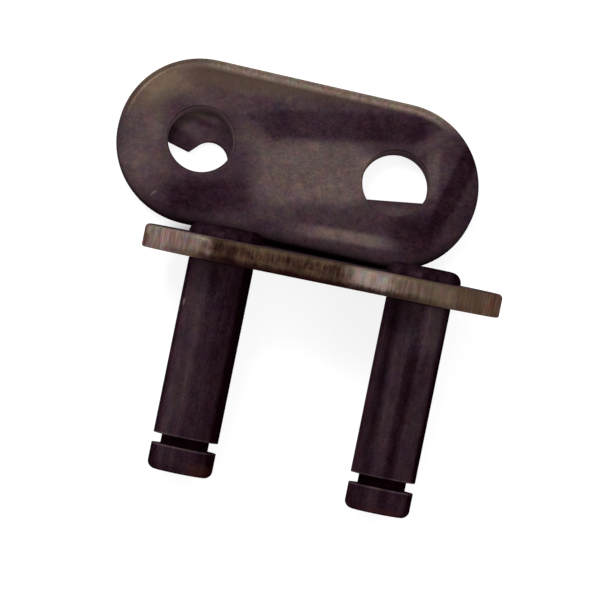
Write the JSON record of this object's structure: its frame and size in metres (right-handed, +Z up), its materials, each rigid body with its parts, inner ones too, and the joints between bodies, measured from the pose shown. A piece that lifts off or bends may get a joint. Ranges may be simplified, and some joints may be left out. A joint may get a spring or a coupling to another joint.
{
  "type": "chain connecting link",
  "caption": "Connecting link for a roller chain: riveted two-pin link, loose cover plate and flat spring clip, laid out as they rest.",
  "frame": {"origin": "on the surface the pieces lie on, at the middle of their footprint", "axes": "+X along the chain's pitch, +Y from the pin ends towards the plates, +Z up off the surface"},
  "size_m": [0.0258, 0.0272, 0.0103],
  "materials": {
    "plate_steel": "dark heat-treatment oxide, satin, tan rust bloom on the sheared edges",
    "pin_steel": "dark oxide over ground steel, satin",
    "clip_steel": "dark tempered spring steel, satin"
  },
  "bodies": {
    "root": {"pin_link_plate": "plate_steel", "left_pin": "pin_steel", "right_pin": "pin_steel", "cover_plate": "plate_steel", "spring_clip": "clip_steel"}
  },
  "joints": []
}
